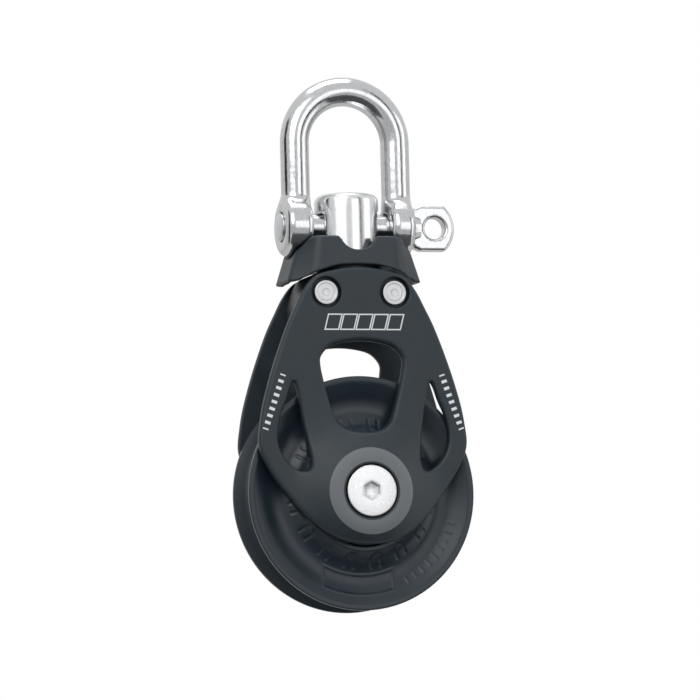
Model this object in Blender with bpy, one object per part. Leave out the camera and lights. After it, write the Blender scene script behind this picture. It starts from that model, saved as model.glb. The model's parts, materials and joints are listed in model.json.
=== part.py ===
"""Single sheave block with a swivelling shackle head.

A grooved sheave turns on a hollow axle between two cheeks. Two rivets hold the cheeks to a head
block. A post turns in the head block, and a bow shackle swings on a pin through the post.
Units are metres, +Z is up, +X runs along the shackle pin, and the near cheek is on the -Y side.
The origin is where the block hangs: the inside of the bow, at its top.
"""
import math

import bmesh
import bpy
from mathutils import Matrix, Vector

MM = 0.001
GAP = 0.3 * MM                          # left between pieces that rest on each other
RUNNING_CLEARANCE = 0.1 * MM            # round a piece that turns in another
CHAMFER = 0.25 * MM                     # on turned edges
BEYOND = 20 * MM                        # how far a cutter runs past the piece it cuts

# Heights. Everything below the bow is set out from the axle's centre.
AXLE_Z = -75.7 * MM                     # axle centre, below the hanging point
PIN_Z = AXLE_Z + 51.85 * MM             # shackle pin's axis
PIN_CENTRE = (0, 0, PIN_Z)
RIVET_Z = AXLE_Z + 38.4 * MM

# Sheave, 45 mm across and 12 mm wide, for 10 mm rope
SHEAVE_RADIUS = 22.5 * MM
SHEAVE_HALF_WIDTH = 6.0 * MM
ROPE_RADIUS = 5.0 * MM
GROOVE_DEPTH = 5.6 * MM
LIP_THICKNESS = 0.9 * MM
HUB_HALF_WIDTH = 7.6 * MM
HUB_RADIUS = 12.0 * MM
BORE_RADIUS = 6.45 * MM
SHEAVE_DISH = [(13.6, 5.0), (15.6, 4.2), (18.2, 4.6), (20.8, 5.8)]   # (radius, half width) in mm
RIM_CORNER = 0.4 * MM
GROOVE_REACH = math.radians(86)         # how far the groove's curve runs up each side
GROOVE_WIDTH_SHARE = 0.95               # the groove is a little narrower than a circle
GROOVE_STEPS = 6

# Side-load ball races, one on each side of the sheave's hub
BALLS_PER_SIDE = 8
BALL_RADIUS = 1.4 * MM
BALL_SIDES, BALL_RINGS = 8, 6
BALL_PITCH_RADIUS = 8.6 * MM
RACE_FLOOR = 6.2 * MM                   # the sheave's race, measured from the middle of the block
RACE_OUTER_RADIUS = 10.3 * MM
CAGE_THICKNESS = 1.0 * MM
CAGE_OUTER_RADIUS = 10.1 * MM
POCKET_RADIUS = 1.55 * MM

# Axle, its two screws and its bush
AXLE_RADIUS = 4.8 * MM
AXLE_BORE_RADIUS = 2.65 * MM
AXLE_HALF_LENGTH = 9.0 * MM
SCREW_RADIUS = 2.5 * MM
SCREW_HEAD_RADIUS = 4.9 * MM
SCREW_HEAD_THICKNESS = 1.7 * MM
SCREW_FACE = 12.45 * MM                 # the head's outer face, from the middle of the block
SCREW_TIP = 0.6 * MM
SOCKET_ACROSS_FLATS = 3.0 * MM
SOCKET_DEPTH = 1.2 * MM

# Cheeks
CHEEK_INNER = 6.5 * MM                  # inner face, from the middle of the block
CHEEK_RIM = 8.2 * MM                    # outer face away from the hub
HUB_FACE = 12.3 * MM                    # outer face round the axle
HUB_FACE_RADIUS = 6.2 * MM
DOME_SPREAD = 5.2 * MM                  # how fast the hub's swelling falls to the rim
DOME_FALL = 0.72
DOME_RINGS = (0.55, 0.32, 0.16, 0.06, 0.0)   # rings of the face, as shares of the way out
EDGE_ROUNDING = 0.9 * MM
SHROUD_POCKET = (12.9 * MM, 8.1 * MM)   # radius and depth of the recess over the sheave's hub
RACE_POCKET = (10.45 * MM, 9.3 * MM)    # radius and depth of the recess over the balls

# Half outlines of a cheek and its windows, as (x, z) from the axle's centre, in millimetres
CHEEK_OUTLINE = [(0, 43.4), (4.0, 43.05), (6.6, 42.5), (8.4, 41.9), (9.8, 40.8), (11.4, 38.6),
                 (12.75, 36.0), (14.9, 31.5), (17.5, 24.5), (19.6, 17.5), (20.5, 12.8), (20.8, 9.6),
                 (20.2, 7.0), (18.3, 3.4), (15.6, -0.4), (12.2, -4.6), (8.4, -7.8), (4.3, -9.6),
                 (0, -10.1)]
CENTRE_WINDOW = [(0, 29.1), (3.4, 28.8), (6.2, 28.0), (8.0, 26.2), (8.2, 24.4), (7.5, 20.8),
                 (6.1, 15.6), (5.0, 13.2), (3.0, 11.9), (0, 11.5)]
SIDE_WINDOW = [(13.5, 21.0), (12.7, 18.0), (12.0, 13.6), (11.5, 10.6), (11.0, 5.8), (11.9, 4.0),
               (14.0, 4.6), (16.2, 7.2), (17.1, 10.4), (16.5, 14.6), (15.3, 17.6), (14.3, 20.4)]

# Rivets
RIVET_X = 6.85 * MM
RIVET_RADIUS = 1.9 * MM
RIVET_HEAD_RADIUS = 2.3 * MM
RIVET_FACE = 8.1 * MM
RIVET_SEAT = 7.2 * MM                   # floor of the counterbore
COUNTERBORE_RADIUS = 3.2 * MM

# Head block, between the cheeks
BLOCK_HALF_WIDTH = CHEEK_INNER - GAP
BLOCK_OUTLINE = [(0, 43.0), (4.0, 42.9), (6.9, 42.4), (8.6, 41.3), (9.9, 39.4), (10.9, 36.4),
                 (10.9, 33.9), (10.2, 31.9), (8.8, 31.2), (4.0, 31.2), (0, 31.2)]
NUT_POCKET_RADIUS = 5.15 * MM
NUT_POCKET_ROOF = AXLE_Z + 35.4 * MM

# Swivel post and what holds it
POST_RADIUS = 6.2 * MM
POST_TOP = AXLE_Z + 58.2 * MM
POST_SHOULDER = AXLE_Z + 44.3 * MM
POST_ROUNDING = 1.2 * MM
POST_FLAT = 5.2 * MM                    # distance of the side flats from the post's axis
POST_FLAT_TOP = AXLE_Z + 55.0 * MM
POST_FLAT_BOTTOM = AXLE_Z + 46.4 * MM
SPIGOT_RADIUS = 3.4 * MM
SPIGOT_END = AXLE_Z + 31.7 * MM
THRUST_WASHER_RADIUS = 6.0 * MM
THRUST_WASHER_BASE = AXLE_Z + 43.3 * MM
THRUST_WASHER_TOP = POST_SHOULDER - 0.2 * MM
NUT_BASE = AXLE_Z + 31.9 * MM
NUT_TOP = AXLE_Z + 34.3 * MM
NUT_CORNER_RADIUS = 4.9 * MM
NUT_WASHER_BASE = AXLE_Z + 34.5 * MM
NUT_WASHER_TOP = NUT_POCKET_ROOF - 0.2 * MM
NUT_WASHER_RADIUS = 4.8 * MM

# Shackle, bent from 5.6 mm bar
BAR_RADIUS = 2.8 * MM
LEG_X = 10.15 * MM
EAR_RADIUS = 5.8 * MM
EAR_INNER = 7.9 * MM
LEFT_EAR_OUTER = 13.3 * MM              # the pin's tip side
RIGHT_EAR_OUTER = 12.6 * MM             # the pin's ring side
EAR_ROUNDING = 1.2 * MM
PIN_RADIUS = 2.75 * MM
PIN_HOLE_RADIUS = 2.9 * MM
PIN_TIP = -13.9 * MM
RING_START = 12.9 * MM
RING_END = 21.6 * MM
RING_HALF_HEIGHT = 4.4 * MM
RING_NECK_HALF_HEIGHT = 3.5 * MM
RING_SHOULDER = 1.4 * MM
RING_END_RADIUS = 5.9 * MM
RING_HALF_THICKNESS = 1.4 * MM
RING_HOLE_X = 17.6 * MM
RING_HOLE_RADIUS = 2.08 * MM

# Head cap
CAP_TOP = AXLE_Z + 49.5 * MM
CAP_BOTTOM = AXLE_Z + 40.8 * MM
CAP_ARCH_TOP = AXLE_Z + 43.9 * MM
CAP_ARCH_RADIUS = 25.0 * MM
CAP_ARCH_HALF_WIDTH = 9.7 * MM
CAP_PLAN_TOP = (7.9 * MM, 7.7 * MM, 10.8 * MM, 4.0 * MM)     # front x, front y, tip x, tip y
CAP_PLAN_BOTTOM = (8.6 * MM, 8.1 * MM, 13.5 * MM, 4.4 * MM)
CAP_SWEEP = [(0, 35.0), (12.8, 35.0), (12.8, 40.9), (12.4, 41.3), (10.8, 42.6), (9.4, 43.4),
             (8.6, 43.8), (0, 43.8)]    # the swept hollow that clears the cheeks, (radius, z) in mm
SADDLE_RADIUS = 6.2 * MM
NOTCH_RADIUS = 3.9 * MM
NOTCH_Z = AXLE_Z + 50.7 * MM
CAP_ROUNDING = 0.8 * MM

HEXAGON = 6
ROUND_STEPS = 32                        # sides of small round pieces
RIVET_STEPS = 24
POCKET_STEPS = 12
ARCH_STEPS = 24
SADDLE_STEPS = 48
SWEEP_STEPS = 40
SHEAVE_STEPS = 44
HUB_STEPS = 44                          # of the stepped hole through a cheek's hub
BAR_SIDES = 18
BOW_STEPS = 18                          # along the half circle of the bow
CORNER_STEPS = 4                        # along the post's rounded top edge
RING_STEPS = 8                          # along the round end of the pin's ring


def clear_scene():
    """Remove every object that is already in the file."""
    for obj in list(bpy.data.objects):
        bpy.data.objects.remove(obj, do_unlink=True)


def make_material(name, colour, roughness, metallic):
    """Make a Principled material from a linear colour, a roughness and a metallic value."""
    material = bpy.data.materials.new(name)
    material.use_nodes = True
    shader = material.node_tree.nodes["Principled BSDF"]
    shader.inputs["Base Color"].default_value = (*colour, 1.0)
    shader.inputs["Roughness"].default_value = roughness
    shader.inputs["Metallic"].default_value = metallic
    return material


def add_object(name, bm, material, smooth_angle=35.0):
    """Turn a bmesh into a named object with outward faces and smooth round sides."""
    bmesh.ops.remove_doubles(bm, verts=bm.verts, dist=1e-7)
    bmesh.ops.recalc_face_normals(bm, faces=bm.faces)
    mesh = bpy.data.meshes.new(name)
    bm.to_mesh(mesh)
    bm.free()
    mesh.materials.append(material)
    mesh.shade_smooth()
    mesh.set_sharp_from_angle(angle=math.radians(smooth_angle))
    obj = bpy.data.objects.new(name, mesh)
    bpy.context.scene.collection.objects.link(obj)
    return obj


def boolean(obj, operand, operation):
    """Cut or join a hidden operand into an object with a live Boolean modifier."""
    operand.hide_render = True
    operand.display_type = "WIRE"
    modifier = obj.modifiers.new(operand.name, "BOOLEAN")
    modifier.operation = operation
    modifier.solver = "EXACT"
    modifier.object = operand


def turned(profile, steps, along="Z", centre=(0, 0, 0)):
    """Spin a profile of (radius, position) points about an axis; a ring profile closes on itself."""
    bm = bmesh.new()
    points = [bm.verts.new((radius, 0, position)) for radius, position in profile]
    closed = all(radius > 0 for radius, position in profile)
    pairs = list(zip(points, points[1:] + points[:1])) if closed else list(zip(points, points[1:]))
    edges = [bm.edges.new(pair) for pair in pairs]
    bmesh.ops.spin(bm, geom=points + edges, cent=(0, 0, 0), axis=(0, 0, 1), dvec=(0, 0, 0),
                   angle=2 * math.pi, steps=steps, use_merge=True)
    bmesh.ops.remove_doubles(bm, verts=bm.verts, dist=1e-7)
    turns = {"Z": Matrix(), "X": Matrix.Rotation(math.pi / 2, 4, "Y"),
             "Y": Matrix.Rotation(-math.pi / 2, 4, "X")}
    bm.transform(Matrix.Translation(Vector(centre)) @ turns[along])
    return bm


def rod(radius, start, end, steps=ROUND_STEPS, along="Z", centre=(0, 0, 0)):
    """A plain cylinder from start to end along an axis through centre."""
    return turned([(0, start), (radius, start), (radius, end), (0, end)], steps, along, centre)


def tube(inner, outer, start, end, steps=ROUND_STEPS, along="Z", centre=(0, 0, 0)):
    """A plain ring from start to end along an axis through centre."""
    profile = [(inner, start), (outer, start), (outer, end), (inner, end)]
    return turned(profile, steps, along, centre)


def smooth_loop(points, per_span):
    """Points on a closed Catmull-Rom curve through the given (x, z) points."""
    count = len(points)
    loop = []
    for index in range(count):
        p0, p1, p2, p3 = (Vector(points[(index + shift) % count]) for shift in (-1, 0, 1, 2))
        for step in range(per_span):
            t = step / per_span
            loop.append(0.5 * (2 * p1 + (p2 - p0) * t + (2 * p0 - 5 * p1 + 4 * p2 - p3) * t ** 2
                               + (3 * p1 - p0 - 3 * p2 + p3) * t ** 3))
    return loop


def mirrored(half):
    """Close a half outline, which starts and ends at x = 0, with its mirror image."""
    return half + [(-x, z) for x, z in reversed(half[1:-1])]


def in_metres(loop):
    """Outline points in millimetres from the axle, as metres in the block's frame."""
    return [(point[0] * MM, AXLE_Z + point[1] * MM) for point in loop]


def prism(loop, start, end):
    """Extrude a closed (x, z) outline along Y, from start to end."""
    bm = bmesh.new()
    face = bm.faces.new([bm.verts.new((x, start, z)) for x, z in loop])
    grown = bmesh.ops.extrude_face_region(bm, geom=[face])
    moved = [item for item in grown["geom"] if isinstance(item, bmesh.types.BMVert)]
    bmesh.ops.translate(bm, verts=moved, vec=(0, end - start, 0))
    return bm


def stacked(rings):
    """A closed solid through rings of equal point counts, capped at both ends."""
    bm = bmesh.new()
    loops = [[bm.verts.new(point) for point in ring] for ring in rings]
    for low, high in zip(loops, loops[1:]):
        for index in range(len(low)):
            after = (index + 1) % len(low)
            bm.faces.new((low[index], low[after], high[after], high[index]))
    bm.faces.new(loops[0])
    bm.faces.new(loops[-1])
    return bm


def dome_height(radius):
    """Outer face of a cheek: highest round the axle, and falling smoothly to the rim."""
    beyond = max(0.0, radius - HUB_FACE_RADIUS)
    return CHEEK_RIM + (HUB_FACE - CHEEK_RIM) * math.exp(-(beyond / DOME_SPREAD) ** 2 * DOME_FALL)


def cheek_body(name, side, material):
    """A cheek before its holes: an outline that rises to a dome round the axle."""
    outline = [Vector(point) * MM for point in smooth_loop(mirrored(CHEEK_OUTLINE), 2)]
    rings = []

    def add_ring(inset, share, drop):
        ring = []
        for point in outline:
            reach = point.length - inset
            radius = HUB_FACE_RADIUS + (reach - HUB_FACE_RADIUS) * share
            spot = point.normalized() * radius
            height = CHEEK_INNER if drop is None else dome_height(radius) - drop
            ring.append((spot.x, side * height, AXLE_Z + spot.y))
        rings.append(ring)

    add_ring(0, 1, None)
    add_ring(0, 1, EDGE_ROUNDING)
    add_ring(EDGE_ROUNDING * 0.3, 1, EDGE_ROUNDING * 0.3)
    add_ring(EDGE_ROUNDING, 1, 0)
    for share in DOME_RINGS:
        add_ring(EDGE_ROUNDING, share, 0)
    return add_object(name, stacked(rings), material)


def cut_cheek(cheek, side, cutter_material):
    """Cut a cheek's windows, its recess over the sheave's hub, and its screw and rivet holes."""
    beyond = side * BEYOND
    start = side * (CHEEK_INNER - MM)
    seat = side * (SCREW_FACE - SCREW_HEAD_THICKNESS - GAP / 2)
    cutters = {}
    rivet_hole = [(0, start), (RIVET_RADIUS + 2 * RUNNING_CLEARANCE, start),
                  (RIVET_RADIUS + 2 * RUNNING_CLEARANCE, side * RIVET_SEAT),
                  (COUNTERBORE_RADIUS, side * RIVET_SEAT), (COUNTERBORE_RADIUS, beyond),
                  (0, beyond)]
    for label, x in (("left_rivet_hole", -RIVET_X), ("right_rivet_hole", RIVET_X)):
        cutters[label] = turned(rivet_hole, ROUND_STEPS, "Y", (x, 0, RIVET_Z))
    screw_hole_radius = SCREW_RADIUS + 2 * RUNNING_CLEARANCE
    hub_hole = [(0, start), (SHROUD_POCKET[0], start), (SHROUD_POCKET[0], side * SHROUD_POCKET[1]),
                (RACE_POCKET[0], side * SHROUD_POCKET[1]), (RACE_POCKET[0], side * RACE_POCKET[1]),
                (screw_hole_radius, side * RACE_POCKET[1]), (screw_hole_radius, seat),
                (SCREW_HEAD_RADIUS + GAP, seat), (SCREW_HEAD_RADIUS + GAP, beyond), (0, beyond)]
    cutters["hub_hole"] = turned(hub_hole, HUB_STEPS, "Y", (0, 0, AXLE_Z))
    window = smooth_loop(mirrored(CENTRE_WINDOW), 2)
    cutters["centre_window"] = prism(in_metres(window), start, beyond)
    for label, sign in (("left_window", -1), ("right_window", 1)):
        window = smooth_loop([(sign * x, z) for x, z in SIDE_WINDOW], 2)
        cutters[label] = prism(in_metres(window), start, beyond)
    for label, bm in cutters.items():
        cutter = add_object(f"cut_{cheek.name}_{label}", bm, cutter_material)
        boolean(cheek, cutter, "DIFFERENCE")


def make_cheeks(material, cutter_material):
    """The two forged cheeks, mirror images of each other."""
    for name, side in (("near_cheek", -1), ("far_cheek", 1)):
        cut_cheek(cheek_body(name, side, material), side, cutter_material)


def sheave_profile():
    """The sheave's section as (radius, position), up one side, through the groove and back."""
    side = [(BORE_RADIUS, RACE_FLOOR), (RACE_OUTER_RADIUS, RACE_FLOOR),
            (RACE_OUTER_RADIUS, HUB_HALF_WIDTH), (HUB_RADIUS - CHAMFER, HUB_HALF_WIDTH),
            (HUB_RADIUS, HUB_HALF_WIDTH - CHAMFER)]
    side += [(radius * MM, position * MM) for radius, position in SHEAVE_DISH]
    side += [(SHEAVE_RADIUS - RIM_CORNER, SHEAVE_HALF_WIDTH),
             (SHEAVE_RADIUS, SHEAVE_HALF_WIDTH - RIM_CORNER),
             (SHEAVE_RADIUS, SHEAVE_HALF_WIDTH - LIP_THICKNESS)]
    groove = []
    centre = SHEAVE_RADIUS - GROOVE_DEPTH + ROPE_RADIUS
    for step in range(GROOVE_STEPS + 1):
        angle = GROOVE_REACH * (1 - 2 * step / GROOVE_STEPS)
        groove.append((centre - ROPE_RADIUS * math.cos(angle),
                       ROPE_RADIUS * math.sin(angle) * GROOVE_WIDTH_SHARE))
    return side + groove + [(radius, -position) for radius, position in reversed(side)]


def make_sheave(sheave_material, bush_material, ball_material):
    """The sheave with its bush, and the ball races on both of its sides."""
    axle_centre = (0, 0, AXLE_Z)
    add_object("sheave", turned(sheave_profile(), SHEAVE_STEPS, "Y", axle_centre), sheave_material)
    bush = tube(AXLE_RADIUS + 1.5 * RUNNING_CLEARANCE, BORE_RADIUS - RUNNING_CLEARANCE,
                -RACE_FLOOR, RACE_FLOOR, along="Y", centre=axle_centre)
    add_object("bush", bush, bush_material)
    middle = (RACE_FLOOR + RACE_POCKET[1]) / 2
    for label, side in (("near", -1), ("far", 1)):
        cage_bm = tube(AXLE_RADIUS + GAP, CAGE_OUTER_RADIUS, side * middle - CAGE_THICKNESS / 2,
                       side * middle + CAGE_THICKNESS / 2, along="Y", centre=axle_centre)
        cage = add_object(f"{label}_ball_cage", cage_bm, bush_material)
        for number in range(BALLS_PER_SIDE):
            angle = 2 * math.pi * (number + 0.5) / BALLS_PER_SIDE
            spot = (BALL_PITCH_RADIUS * math.sin(angle), side * middle,
                    AXLE_Z + BALL_PITCH_RADIUS * math.cos(angle))
            pocket = rod(POCKET_RADIUS, -CAGE_THICKNESS, CAGE_THICKNESS, POCKET_STEPS, "Y", spot)
            boolean(cage, add_object(f"cut_{label}_pocket_{number + 1}", pocket, bush_material),
                    "DIFFERENCE")
            ball = bmesh.new()
            bmesh.ops.create_uvsphere(ball, u_segments=BALL_SIDES, v_segments=BALL_RINGS,
                                      radius=BALL_RADIUS)
            bmesh.ops.translate(ball, verts=ball.verts, vec=spot)
            add_object(f"{label}_ball_{number + 1}", ball, ball_material, 60.0)


def make_axle(steel):
    """The hollow axle and the two socket screws that clamp the cheeks to it."""
    axle_centre = (0, 0, AXLE_Z)
    axle = tube(AXLE_BORE_RADIUS, AXLE_RADIUS, -AXLE_HALF_LENGTH, AXLE_HALF_LENGTH, along="Y",
                centre=axle_centre)
    add_object("axle", axle, steel)
    under_head = SCREW_FACE - SCREW_HEAD_THICKNESS
    for label, side in (("near", -1), ("far", 1)):
        profile = [(0, side * SCREW_TIP), (SCREW_RADIUS, side * SCREW_TIP),
                   (SCREW_RADIUS, side * under_head), (SCREW_HEAD_RADIUS, side * under_head),
                   (SCREW_HEAD_RADIUS, side * (SCREW_FACE - CHAMFER)),
                   (SCREW_HEAD_RADIUS - CHAMFER, side * SCREW_FACE), (0, side * SCREW_FACE)]
        screw = add_object(f"{label}_axle_screw", turned(profile, ROUND_STEPS, "Y", axle_centre), steel)
        socket = rod(SOCKET_ACROSS_FLATS / math.sqrt(3), side * (SCREW_FACE - SOCKET_DEPTH),
                     side * (SCREW_FACE + MM), HEXAGON, "Y", axle_centre)
        boolean(screw, add_object(f"cut_{label}_socket", socket, steel), "DIFFERENCE")


def make_rivets(steel):
    """The two rivets through both cheeks and the head block."""
    seat = RIVET_SEAT + GAP / 2
    for label, x in (("left", -RIVET_X), ("right", RIVET_X)):
        profile = [(0, -RIVET_FACE), (RIVET_HEAD_RADIUS - CHAMFER, -RIVET_FACE),
                   (RIVET_HEAD_RADIUS, -RIVET_FACE + CHAMFER), (RIVET_HEAD_RADIUS, -seat),
                   (RIVET_RADIUS, -seat), (RIVET_RADIUS, seat), (RIVET_HEAD_RADIUS, seat),
                   (RIVET_HEAD_RADIUS, RIVET_FACE - CHAMFER),
                   (RIVET_HEAD_RADIUS - CHAMFER, RIVET_FACE), (0, RIVET_FACE)]
        add_object(f"{label}_rivet", turned(profile, RIVET_STEPS, "Y", (x, 0, RIVET_Z)), steel)


def make_head_block(aluminium, washer_material):
    """The solid spacer between the cheeks, bored for the post and the rivets, and its washer."""
    outline = in_metres(smooth_loop(mirrored(BLOCK_OUTLINE), 2))
    block = add_object("head_block", prism(outline, -BLOCK_HALF_WIDTH, BLOCK_HALF_WIDTH), aluminium)
    low, high = RIVET_Z - BEYOND, RIVET_Z + BEYOND
    spigot_hole = SPIGOT_RADIUS + RUNNING_CLEARANCE
    bore = [(0, low), (NUT_POCKET_RADIUS, low), (NUT_POCKET_RADIUS, NUT_POCKET_ROOF),
            (spigot_hole, NUT_POCKET_ROOF), (spigot_hole, high), (0, high)]
    boolean(block, add_object("cut_post_bore", turned(bore, ROUND_STEPS), aluminium), "DIFFERENCE")
    for label, x in (("left", -RIVET_X), ("right", RIVET_X)):
        hole = rod(RIVET_RADIUS + 2 * RUNNING_CLEARANCE, -BEYOND, BEYOND, along="Y",
                   centre=(x, 0, RIVET_Z))
        boolean(block, add_object(f"cut_block_{label}_rivet", hole, aluminium), "DIFFERENCE")
    washer = tube(SPIGOT_RADIUS + 2 * RUNNING_CLEARANCE, THRUST_WASHER_RADIUS,
                  THRUST_WASHER_BASE, THRUST_WASHER_TOP)
    add_object("thrust_washer", washer, washer_material)


def make_post(steel):
    """The turned swivel post, its side flats and pin hole, and the nut and washer under it."""
    corner = POST_TOP - POST_ROUNDING
    profile = [(0, SPIGOT_END), (SPIGOT_RADIUS - CHAMFER, SPIGOT_END),
               (SPIGOT_RADIUS, SPIGOT_END + CHAMFER), (SPIGOT_RADIUS, POST_SHOULDER),
               (POST_RADIUS, POST_SHOULDER)]
    for step in range(CORNER_STEPS + 1):
        angle = math.pi / 2 * step / CORNER_STEPS
        profile.append((POST_RADIUS - POST_ROUNDING * (1 - math.cos(angle)),
                        corner + POST_ROUNDING * math.sin(angle)))
    profile.append((0, POST_TOP))
    post = add_object("swivel_post", turned(profile, ROUND_STEPS), steel)
    middle, half = (POST_FLAT_TOP + POST_FLAT_BOTTOM) / 2, (POST_FLAT_TOP - POST_FLAT_BOTTOM) / 2
    for label, sign in (("left", -1), ("right", 1)):
        flat = bmesh.new()
        bmesh.ops.create_cube(flat, size=2)
        bmesh.ops.scale(flat, verts=flat.verts, vec=(POST_FLAT, POST_RADIUS + MM, half))
        bmesh.ops.translate(flat, verts=flat.verts, vec=(sign * 2 * POST_FLAT, 0, middle))
        boolean(post, add_object(f"cut_post_{label}_flat", flat, steel), "DIFFERENCE")
    hole = rod(PIN_HOLE_RADIUS, -BEYOND, BEYOND, along="X", centre=PIN_CENTRE)
    boolean(post, add_object("cut_post_pin_hole", hole, steel), "DIFFERENCE")
    inner = SPIGOT_RADIUS + RUNNING_CLEARANCE
    add_object("nut_washer", tube(inner, NUT_WASHER_RADIUS, NUT_WASHER_BASE, NUT_WASHER_TOP), steel)
    nut = add_object("post_nut", rod(NUT_CORNER_RADIUS, NUT_BASE, NUT_TOP, HEXAGON), steel)
    bore = rod(inner, NUT_BASE - MM, NUT_TOP + MM)
    boolean(nut, add_object("cut_nut_bore", bore, steel), "DIFFERENCE")


def cap_ring(plan, z):
    """The cap's eight-sided plan at one height: flat front and back, sloping to narrow ends."""
    front_x, front_y, tip_x, tip_y = plan
    quarter = [(tip_x, tip_y), (front_x, front_y)]
    half = quarter + [(-x, y) for x, y in reversed(quarter)]
    return [(x, y, z) for x, y in half] + [(-x, -y, z) for x, y in half]


def make_cap(plastic):
    """The moulded cap: a bridge over the cheeks with a saddle for the shackle's ears."""
    cap = add_object("head_cap", stacked([cap_ring(CAP_PLAN_BOTTOM, CAP_BOTTOM),
                                          cap_ring(CAP_PLAN_TOP, CAP_TOP)]), plastic)
    bevel = cap.modifiers.new("soft_corners", "BEVEL")
    bevel.width, bevel.segments, bevel.limit_method = CAP_ROUNDING, 2, "ANGLE"
    bevel.angle_limit = math.radians(30)
    arch = [(CAP_ARCH_HALF_WIDTH, CAP_BOTTOM - MM), (-CAP_ARCH_HALF_WIDTH, CAP_BOTTOM - MM)]
    for step in range(ARCH_STEPS + 1):
        x = CAP_ARCH_HALF_WIDTH * (2 * step / ARCH_STEPS - 1)
        arch.append((x, CAP_ARCH_TOP - CAP_ARCH_RADIUS + math.sqrt(CAP_ARCH_RADIUS ** 2 - x ** 2)))
    cutters = {
        "arch": prism(arch, -BEYOND, BEYOND),
        "sweep": turned([(radius * MM, AXLE_Z + z * MM) for radius, z in CAP_SWEEP], SWEEP_STEPS),
        "saddle": rod(SADDLE_RADIUS, -BEYOND, BEYOND, SADDLE_STEPS, "X", PIN_CENTRE),
        "notch": rod(NOTCH_RADIUS, -BEYOND, BEYOND, along="Y", centre=(0, 0, NOTCH_Z)),
        "bore": rod(POST_RADIUS + 2 * RUNNING_CLEARANCE, CAP_BOTTOM - MM, CAP_TOP + MM),
    }
    for label, bm in cutters.items():
        boolean(cap, add_object(f"cut_cap_{label}", bm, plastic), "DIFFERENCE")


def make_bow(steel):
    """The shackle bow: a bar bent to a half circle on two straight legs, with an ear on each leg."""
    centre_z = BAR_RADIUS - LEG_X
    path = [(-LEG_X, PIN_Z)]
    for step in range(BOW_STEPS + 1):
        angle = math.pi * (1 - step / BOW_STEPS)
        path.append((LEG_X * math.cos(angle), centre_z + LEG_X * math.sin(angle)))
    path.append((LEG_X, PIN_Z))
    rings = []
    for index, (x, z) in enumerate(path):
        before, after = path[max(index - 1, 0)], path[min(index + 1, len(path) - 1)]
        heading = Vector((after[0] - before[0], 0, after[1] - before[1])).normalized()
        across = Vector((heading.z, 0, -heading.x))
        ring = []
        for step in range(BAR_SIDES):
            angle = 2 * math.pi * step / BAR_SIDES
            offset = across * math.cos(angle) + Vector((0, 1, 0)) * math.sin(angle)
            ring.append(Vector((x, 0, z)) + offset * BAR_RADIUS)
        rings.append(ring)
    bow = add_object("shackle_bow", stacked(rings), steel)
    soft, softer = EAR_ROUNDING, EAR_ROUNDING * 0.3
    for label, sign, outer in (("left", -1, LEFT_EAR_OUTER), ("right", 1, RIGHT_EAR_OUTER)):
        side = [(EAR_RADIUS - soft, 0), (EAR_RADIUS - softer, softer), (EAR_RADIUS, soft)]
        profile = [(radius, sign * (EAR_INNER + inset)) for radius, inset in [(0, 0)] + side]
        profile += [(radius, sign * (outer - inset)) for radius, inset in side[::-1] + [(0, 0)]]
        ear = turned(profile, ROUND_STEPS, "X", PIN_CENTRE)
        ear = add_object(f"join_{label}_ear", ear, steel)
        boolean(bow, ear, "UNION")
    hole = rod(PIN_HOLE_RADIUS, -BEYOND, BEYOND, along="X", centre=PIN_CENTRE)
    boolean(bow, add_object("cut_bow_pin_hole", hole, steel), "DIFFERENCE")


def make_pin(steel):
    """The shackle pin: a plain shank with a flattened ring head to turn it by."""
    shank = rod(PIN_RADIUS, PIN_TIP, RING_START + 2 * MM, along="X", centre=PIN_CENTRE)
    pin = add_object("shackle_pin", shank, steel)
    corner = math.asin(RING_HALF_HEIGHT / RING_END_RADIUS)
    shoulder = RING_START + RING_SHOULDER
    outline = [(RING_START, -RING_NECK_HALF_HEIGHT), (shoulder, -RING_HALF_HEIGHT)]
    for step in range(RING_STEPS + 1):
        angle = corner * (2 * step / RING_STEPS - 1)
        outline.append((RING_END - RING_END_RADIUS * (1 - math.cos(angle)),
                        RING_END_RADIUS * math.sin(angle)))
    outline += [(shoulder, RING_HALF_HEIGHT), (RING_START, RING_NECK_HALF_HEIGHT)]
    plate = prism([(x, PIN_Z + z) for x, z in outline], -RING_HALF_THICKNESS, RING_HALF_THICKNESS)
    boolean(pin, add_object("join_pin_ring", plate, steel), "UNION")
    hole = rod(RING_HOLE_RADIUS, -BEYOND, BEYOND, along="Y", centre=(RING_HOLE_X, 0, PIN_Z))
    boolean(pin, add_object("cut_pin_ring_hole", hole, steel), "DIFFERENCE")


def main():
    """Build every piece of the block."""
    clear_scene()
    steel = make_material("polished_stainless", (0.62, 0.62, 0.60), 0.2, 1.0)
    satin = make_material("satin_stainless", (0.72, 0.72, 0.70), 0.35, 1.0)
    forged = make_material("black_anodised_forging", (0.022, 0.024, 0.028), 0.45, 0.3)
    machined = make_material("machined_aluminium", (0.05, 0.05, 0.055), 0.4, 0.3)
    moulded = make_material("black_moulding", (0.020, 0.022, 0.026), 0.5, 0.0)
    sheave_black = make_material("black_sheave", (0.016, 0.018, 0.020), 0.4, 0.0)
    acetal = make_material("white_acetal", (0.80, 0.80, 0.76), 0.4, 0.0)
    bush_grey = make_material("grey_liner", (0.10, 0.10, 0.10), 0.6, 0.0)
    make_bow(steel)
    make_pin(steel)
    make_post(steel)
    make_cap(moulded)
    make_head_block(machined, acetal)
    make_cheeks(forged, forged)
    make_rivets(satin)
    make_axle(satin)
    make_sheave(sheave_black, bush_grey, acetal)


main()
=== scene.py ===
# %% [markdown]
# # A single sheave block, from its frame to its finishes
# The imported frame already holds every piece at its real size, with its joints. This script keeps
# the frame as it is, and lays a finer surface over each piece that shows. Each surface is a
# function of two parameters, or a distance from the shape, worked out as whole numpy arrays.

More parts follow.
